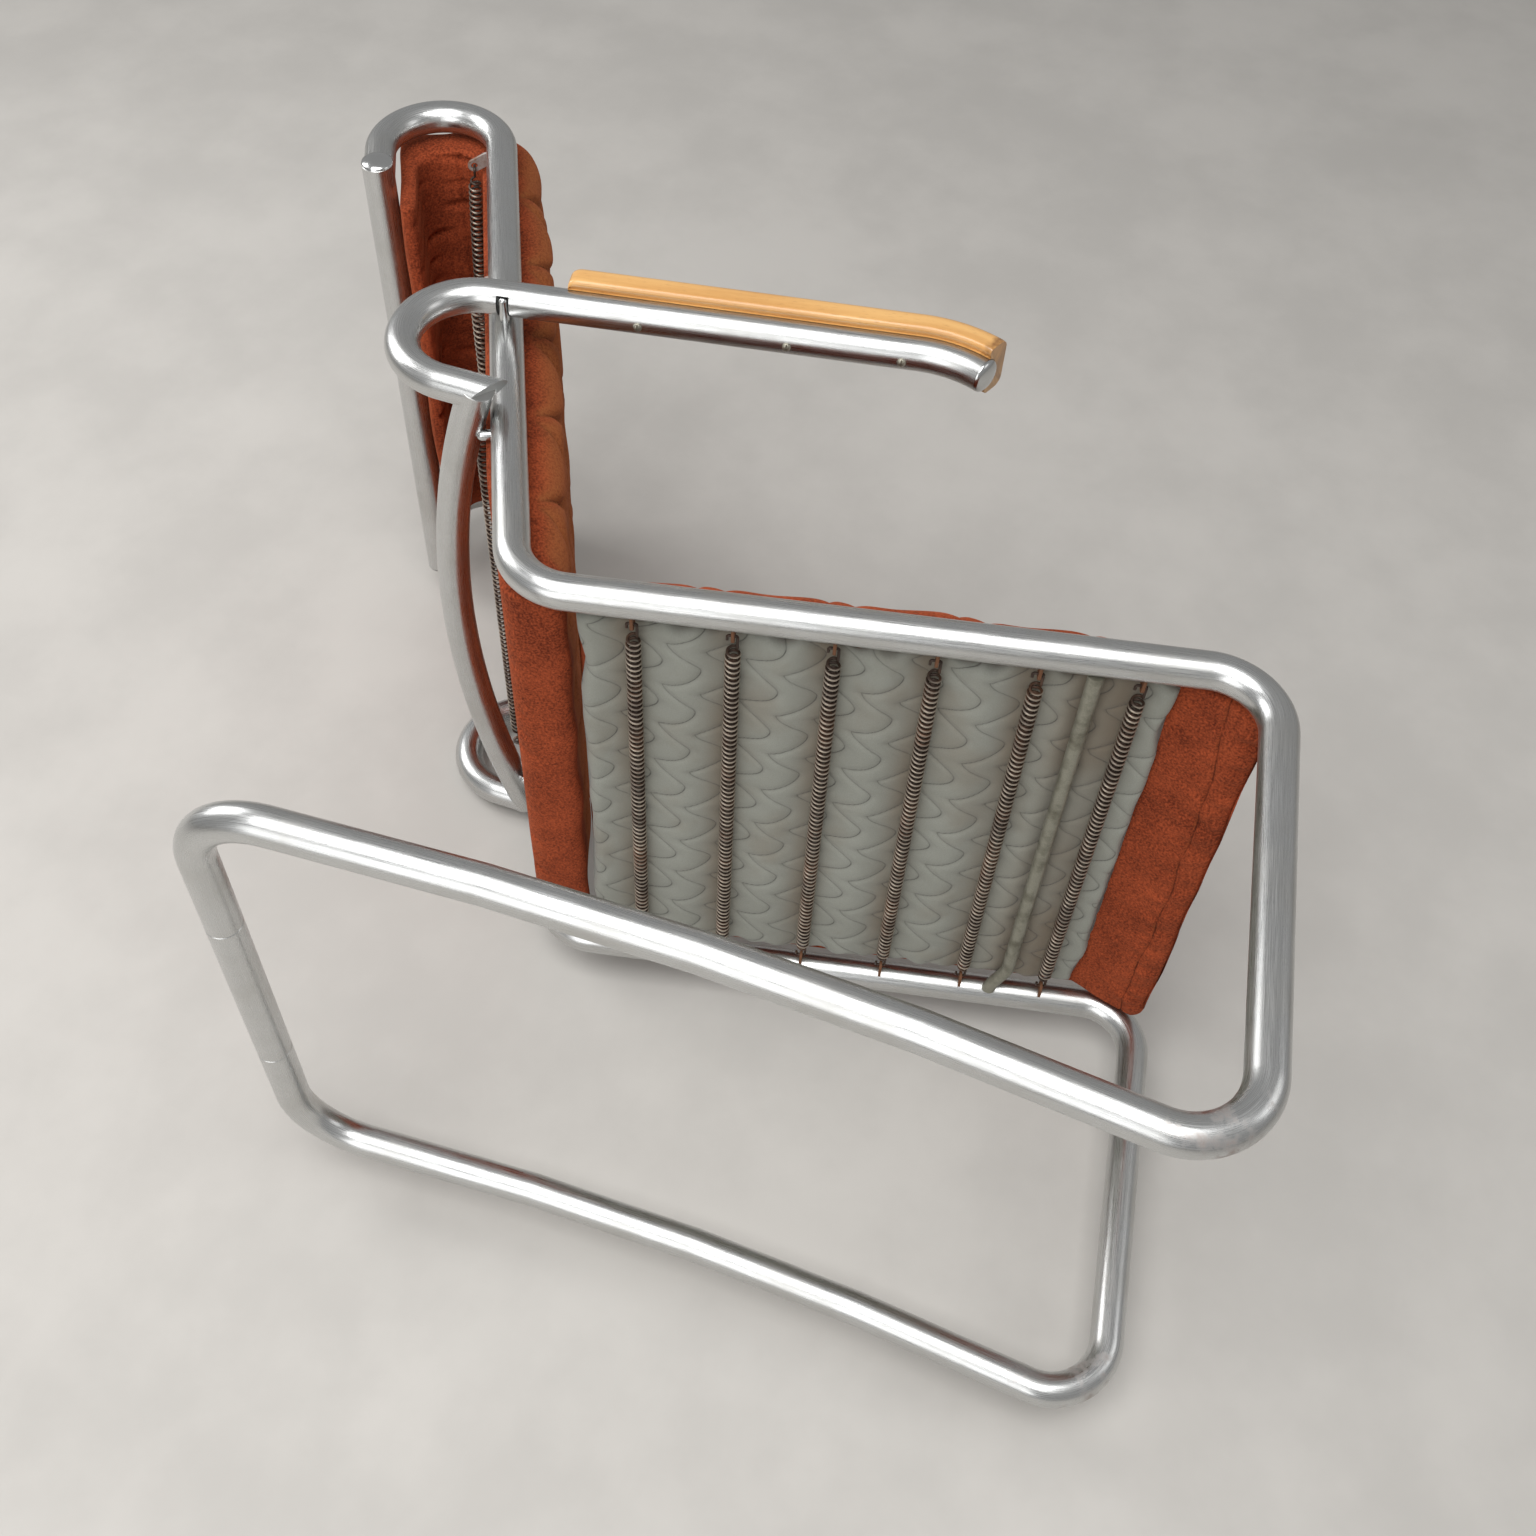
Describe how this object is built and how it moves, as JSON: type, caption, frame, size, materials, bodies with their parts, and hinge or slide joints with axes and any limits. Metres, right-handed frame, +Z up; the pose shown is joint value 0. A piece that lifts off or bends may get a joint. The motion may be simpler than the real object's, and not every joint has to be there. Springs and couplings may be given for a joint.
{
  "type": "cantilever lounge chair",
  "caption": "Lounge chair on a sprung frame of bent chromed tube, with a loose seat and back cushion on springs and looped arms with wooden pads",
  "frame": {"origin": "middle of the rectangle that the chair covers, on the floor that it stands on", "axes": "+Z up, -Y towards the front edge of the seat, +X towards the sitter's left arm"},
  "size_m": [0.5816, 0.9476, 0.8108],
  "materials": {
    "chrome_tube": "polished chrome plate on steel tube, dulled and speckled with rust at the lower front bends",
    "bright_fittings": "polished chrome plate",
    "spring_wire": "spring wire browned by rust, bright on the crests of its coils",
    "strut_steel": "dull grey-green plated steel",
    "screw_steel": "dull zinc-plated steel",
    "arm_wood": "honey-coloured beech under clear lacquer",
    "plush_cover": "rust-brown furnishing plush with quilted wavy lines",
    "lining_cloth": "grey lining cloth with wavy quilting stitches"
  },
  "bodies": {
    "root": {"side_frame_right": "chrome_tube", "side_frame_left": "chrome_tube", "rear_floor_rail": "chrome_tube", "floor_rail_spigot_right": "strut_steel", "floor_rail_spigot_left": "strut_steel", "top_cross_rail": "chrome_tube", "cross_rail_plug_right": "bright_fittings", "cross_rail_plug_left": "bright_fittings", "seat_strut": "strut_steel", "seat_spring_1": "spring_wire", "seat_spring_2": "spring_wire", "seat_spring_3": "spring_wire", "seat_spring_4": "spring_wire", "seat_spring_5": "spring_wire", "seat_spring_6": "spring_wire", "back_spring_1": "spring_wire", "back_spring_2": "spring_wire", "back_spring_3": "spring_wire", "arm_frame_right": "chrome_tube", "arm_frame_left": "chrome_tube", "arm_end_cap_right": "bright_fittings", "arm_end_cap_left": "bright_fittings", "back_brace": "chrome_tube", "arm_pin_right": "bright_fittings", "arm_pin_left": "bright_fittings", "brace_stud_right": "bright_fittings", "brace_stud_left": "bright_fittings", "arm_pad_right": "arm_wood", "arm_pad_left": "arm_wood", "arm_pad_screw_right_1": "screw_steel", "arm_pad_screw_right_2": "screw_steel", "arm_pad_screw_right_3": "screw_steel", "arm_pad_screw_left_1": "screw_steel", "arm_pad_screw_left_2": "screw_steel", "arm_pad_screw_left_3": "screw_steel", "seat_cushion": "plush_cover", "seat_lining": "lining_cloth", "back_cushion": "plush_cover"}
  },
  "joints": []
}
